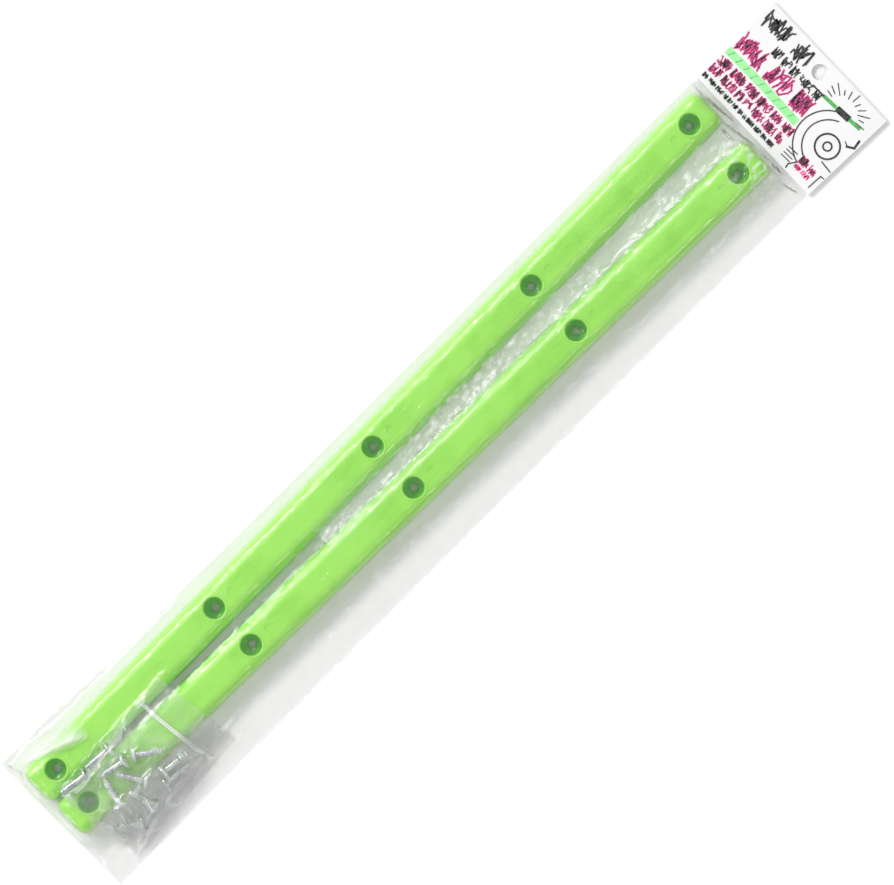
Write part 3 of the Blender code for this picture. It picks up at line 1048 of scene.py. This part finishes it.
def card_mesh():
    """A strip folded back on itself, given its thickness, and punched."""
    bend, deep = CARD_HIGH / 2, CARD_DEEP / 2
    angles = [math.radians(a) for a in range(-90, 91, 15)]
    path = [(deep - bend + bend * math.cos(a), bend + bend * math.sin(a)) for a in angles]
    path = [(-deep, 0.0), *path, (-deep, CARD_HIGH)]  # X and height, across the fold
    bm = bmesh.new()
    verts = [bm.verts.new((x, -CARD_WIDE / 2, z)) for x, z in path]
    edges = [bm.edges.new(pair) for pair in zip(verts, verts[1:])]
    made = bmesh.ops.extrude_edge_only(bm, edges=edges)["geom"]
    far = [item for item in made if isinstance(item, bmesh.types.BMVert)]
    bmesh.ops.translate(bm, vec=(0, CARD_WIDE, 0), verts=far)
    strip = link("strip", bm)
    solid = strip.modifiers.new("board", "SOLIDIFY")
    solid.thickness = BOARD * MM
    solid.offset = -1
    solid.use_even_offset = True
    punch = lathe("punch", [(0, -2), (HANG_R, -2), (HANG_R, 4), (0, 4)], HOLE_SIDES)
    punch.location.x = (CARD_DEEP / 2 - HANG_IN) * MM
    joined(strip, punch, "DIFFERENCE")
    return finished_mesh(strip, [punch], crease=30)


def card_board():
    """White board with a light coating: fibres just show as unevenness."""
    mat, tree, node, wire, shader = nodes_of("card_board")
    where = node("ShaderNodeTexCoord")
    fibres = node("ShaderNodeTexNoise", Scale=1500.0, Detail=5.0, Roughness=0.65)
    cloud = node("ShaderNodeTexNoise", Scale=60.0, Detail=3.0)
    tone = two_tones(node, 0.3, (0.83, 0.835, 0.835), 0.7, (0.865, 0.87, 0.865))
    bump = node("ShaderNodeBump", Strength=0.2, Distance=0.00008)
    wire(where.outputs["Object"], fibres.inputs["Vector"])
    wire(where.outputs["Object"], cloud.inputs["Vector"])
    wire(cloud.outputs["Fac"], tone.inputs["Fac"])
    wire(tone.outputs["Color"], shader.inputs["Base Color"])
    wire(fibres.outputs["Fac"], bump.inputs["Height"])
    wire(bump.outputs["Normal"], shader.inputs["Normal"])
    shader.inputs["Roughness"].default_value = 0.5
    return mat


board_mesh = card_mesh()
board_mesh.materials.clear()
board_mesh.materials.append(card_board())
card = placed("folded_card", board_mesh)
card.location = (CARD_AT[0] * MM, CARD_AT[1] * MM, 0)
card.rotation_euler.z = math.radians(CARD_TURN)
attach(card, "header")
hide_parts("header_card")


# ---------------------------------------------------------------- print on the card
# The card's face is screen printed in pink, black and green, in the loose hand of a felt pen:
# rows of plain scrawl, a highlighted line, and a drawing of a wheel, a rail and an arch.

INK_THICK = 0.02
INK_LAYERS = 5
INK_STEP = 0.01
INK_BASES = {"lime": 0.01, "leaf": 0.05, "pink": 0.03, "black": 0.09}
PEN_CORE = 0.25


def ink_finish(name, thin, full):
    """Printed ink, a little uneven, from thin to full cover."""
    mat, tree, node, wire, shader = nodes_of(name)
    where = node("ShaderNodeTexCoord")
    cover = node("ShaderNodeTexNoise", Scale=1400.0, Detail=4.0, Roughness=0.6)
    tone = two_tones(node, 0.35, full, 0.72, thin)
    wire(where.outputs["Object"], cover.inputs["Vector"])
    wire(cover.outputs["Fac"], tone.inputs["Fac"])
    wire(tone.outputs["Color"], shader.inputs["Base Color"])
    shader.inputs["Roughness"].default_value = 0.6
    shader.inputs["Specular IOR Level"].default_value = 0.2
    return mat


def pen(strokes, points, wide):
    """Adds a stroke through points given in the pack's own frame, before the card's turn."""
    strokes.append(([(x - CARD_AT[0], y - CARD_AT[1]) for x, y in points], wide))


def scrawl(strokes, x_low, x_high, y_from, y_to, pitch, wide, rng, core=None):
    """A row of scratched-out scribble in groups, running along -Y.

    Each group is gone over twice. A core is a thin line down the middle of every stroke.
    """
    y = y_from
    while y - pitch > y_to:
        long = min(pitch * rng.uniform(1.6, 4.5), y - y_to)
        for _ in range(2):
            points = []
            run = 0.0
            while run < long:
                low_side = rng.random() < 0.5
                share = rng.uniform(-0.05, 0.45) if low_side else rng.uniform(0.55, 1.05)
                points.append((x_low + share * (x_high - x_low), y - max(run, 0.0)))
                run += pitch * rng.uniform(-0.35, 0.6)
            pen(strokes, points, wide)
            if core is not None:
                pen(core, points, wide * PEN_CORE)
        y -= long + pitch * 0.8


def arc(cx, cy, rx, ry, start, end, count=24):
    """Points along part of an ellipse, in degrees from +X."""
    angles = [math.radians(start + (end - start) * k / count) for k in range(count + 1)]
    return [(cx + rx * math.cos(a), cy + ry * math.sin(a)) for a in angles]


def print_ink(name, strokes, mat, base):
    """Flat ribbons along the strokes on the card's face, each a layer above the last."""
    bm = bmesh.new()
    layer = 0
    for points, wide in strokes:
        for here, there in zip(points, points[1:]):
            layer = (layer + 1) % INK_LAYERS
            height = base + layer * INK_STEP
            here, there = Vector((*here, height)), Vector((*there, height))
            way = (there - here).normalized() * wide / 2
            out = Vector((-way.y, way.x, 0))
            corners = (here - way - out, there + way - out, there + way + out, here - way + out)
            bm.faces.new([bm.verts.new(corner) for corner in corners])
    ink = link(name, bm)
    ink.data.materials.append(mat)
    solid = ink.modifiers.new("ink", "SOLIDIFY")
    solid.thickness = INK_THICK * MM
    solid.offset = 1
    ink.location = card.location
    ink.rotation_euler = card.rotation_euler
    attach(ink, "header")
    return ink


hand = random.Random(11)
pink, black, lime, leaf = [], [], [], []
scrawl(black, 168.1, 169.9, 28.9, -11.0, 0.85, 0.24, hand)
scrawl(pink, 171.3, 174.8, 28.8, -11.0, 1.5, 0.5, hand, black)
scrawl(pink, 175.7, 179.4, 28.8, -11.8, 1.6, 0.52, hand, black)
scrawl(pink, 184.6, 192.0, 28.4, -9.0, 3.3, 0.8, hand, black)
scrawl(black, 192.9, 196.6, 16.6, -8.6, 1.6, 0.42, hand)
scrawl(black, 198.0, 205.6, 28.0, 3.0, 3.9, 0.65, hand)
pen(lime, [(182.0, 27.6), (182.2, 10.0), (181.9, -7.8)], 3.3)
for k in range(9):
    pen(leaf, [(180.7 + 0.2 * (k % 3), 27.5 - 4.1 * k), (183.2, 26.4 - 4.1 * k)], 0.3)
pen(black, arc(184.5, -24.0, 13.4, 13.6, 165, 30), 0.5)
pen(black, arc(184.5, -25.5, 10.6, 11.4, 160, 28), 0.5)
pen(black, arc(184.2, -24.2, 4.9, 4.9, 0, 360, 32), 0.7)
pen(black, arc(184.2, -24.2, 1.7, 1.7, 0, 360, 16), 0.6)
pen(black, [(167.2, -19.0), (168.6, -18.6), (171.6, -20.4)], 0.5)
pen(black, [(178.6, -27.0), (178.2, -32.0)], 0.5)
pen(leaf, [(196.6, -9.6), (197.0, -17.2)], 1.5)
pen(leaf, [(197.3, -21.4), (197.8, -27.4)], 1.5)
pen(black, [(197.0, -17.4), (197.3, -21.2)], 2.6)
pen(black, [(196.4, -4.4), (196.6, -9.2)], 0.6)
for k in range(11):
    angle = math.radians(78 - 16 * k)
    near, far = 5.2 + 0.5 * (k % 2), 7.2 + 0.9 * (k % 3)
    run = [(197.6 + r * math.cos(angle), -18.2 + 1.35 * r * math.sin(angle)) for r in (near, far)]
    pen(black, run, 0.4)
for k in range(4):
    pen(black, [(169.4 + 1.4 * k, -14.2), (169.6 + 1.4 * k, -18.4)], 0.4)
scrawl(pink, 169.4, 171.2, -20.6, -29.0, 0.9, 0.3, hand)
scrawl(pink, 172.0, 175.2, -20.6, -29.0, 1.3, 0.45, hand, black)
pen(black, [(168.2, -30.6), (174.4, -30.8), (174.6, -32.2)], 0.45)
pen(black, [(189.6, -29.4), (191.2, -31.8), (194.4, -31.2)], 0.9)
pen(black, [(190.4, -27.6), (190.0, -28.9)], 0.4)
pink_ink = ink_finish("pink_ink", (0.95, 0.2, 0.5), (0.82, 0.01, 0.22))
black_ink = ink_finish("black_ink", (0.12, 0.12, 0.12), (0.012, 0.012, 0.014))
lime_ink = ink_finish("lime_ink", (0.5, 0.92, 0.5), (0.28, 0.8, 0.28))
leaf_ink = ink_finish("leaf_ink", (0.2, 0.6, 0.2), (0.05, 0.36, 0.07))
print_ink("print_lime", lime, lime_ink, CARD_HIGH + INK_BASES["lime"])
print_ink("print_leaf", leaf, leaf_ink, CARD_HIGH + INK_BASES["leaf"])
print_ink("print_pink", pink, pink_ink, CARD_HIGH + INK_BASES["pink"])
print_ink("print_black", black, black_ink, CARD_HIGH + INK_BASES["black"])


# ---------------------------------------------------------------- table, lights and camera
# The pack lies on a plain white table in a pale room, under three soft lamps: one on each side and
# one past the closed end. The camera looks straight down, with the pack running up to the right.

VIEW_WIDE = 342.6
LENS = 200.0
SENSOR = 36.0
VIEW_AT = (-0.1, -1.2)
RAIL_MIDDLE_Z = 6.0
TABLE_HALF = 2500
ROOM_GREYS = ((0.0, 0.6), (0.35, 1.0), (0.8, 1.05), (0.95, 0.8), (1.0, 0.7))  # by height
ROOM_DIMMEST = 0.46  # on the fill's side, against 1 on the key's

bm = bmesh.new()
bmesh.ops.create_grid(bm, x_segments=4, y_segments=4, size=TABLE_HALF)
table = link("table", bm)
mat, tree, node, wire, shader = nodes_of("table_white")
where = node("ShaderNodeTexCoord")
grain = node("ShaderNodeTexNoise", Scale=40.0, Detail=3.0)
tone = two_tones(node, 0.0, (0.9, 0.9, 0.9), 1.0, (0.93, 0.93, 0.93))
wire(where.outputs["Object"], grain.inputs["Vector"])
wire(grain.outputs["Fac"], tone.inputs["Fac"])
wire(tone.outputs["Color"], shader.inputs["Base Color"])
shader.inputs["Roughness"].default_value = 0.8
shader.inputs["Specular IOR Level"].default_value = 0.0
table.data.materials.append(mat)


def softbox(name, at, size, power):
    """A rectangular lamp aimed at the pack's middle, its place and size in metres."""
    lamp = bpy.data.lights.new(name, "AREA")
    lamp.shape = "RECTANGLE"
    lamp.size, lamp.size_y = size
    lamp.energy = power
    obj = placed(name, lamp)
    obj.location = at
    obj.rotation_euler = (-Vector(at)).to_track_quat("-Z", "Y").to_euler()


softbox("key", (-0.15, 1.1, 1.0), (1.0, 0.32), 13)
softbox("fill", (0.2, -1.1, 1.0), (0.6, 0.2), 2.2)
softbox("end", (-1.3, 0.1, 0.9), (0.3, 0.6), 2.5)
world = bpy.data.worlds.new("room")
bpy.context.scene.world = world
world.use_nodes = True
sky = world.node_tree
way = sky.nodes.new("ShaderNodeTexCoord")
parts = sky.nodes.new("ShaderNodeSeparateXYZ")
ramp = sky.nodes.new("ShaderNodeValToRGB")
sky.links.new(way.outputs["Generated"], parts.inputs["Vector"])
sky.links.new(parts.outputs["Z"], ramp.inputs["Fac"])
sky.links.new(ramp.outputs["Color"], sky.nodes["Background"].inputs["Color"])
stops = ramp.color_ramp.elements
for height, grey in ROOM_GREYS:
    stop = stops.new(height) if 0 < height < 1 else stops[-1 if height else 0]
    stop.color = (grey, grey, grey, 1)
brighter = sky.nodes.new("ShaderNodeMapRange")
brighter.inputs["From Min"].default_value = -1.0
brighter.inputs["To Min"].default_value = ROOM_DIMMEST
brighter.inputs["To Max"].default_value = 1.0
sky.links.new(parts.outputs["Y"], brighter.inputs["Value"])
sky.links.new(brighter.outputs["Result"], sky.nodes["Background"].inputs["Strength"])
bpy.context.scene.view_settings.view_transform = "Standard"

camera = bpy.data.cameras.new("camera")
camera.lens = LENS
camera.sensor_width = SENSOR
camera.clip_end = 100
eye = placed("camera", camera)
far = VIEW_WIDE * LENS / SENSOR + RAIL_MIDDLE_Z
eye.location = (VIEW_AT[0] * MM, VIEW_AT[1] * MM, far * MM)
eye.rotation_euler = (0, 0, math.radians(-45))
bpy.context.scene.camera = eye
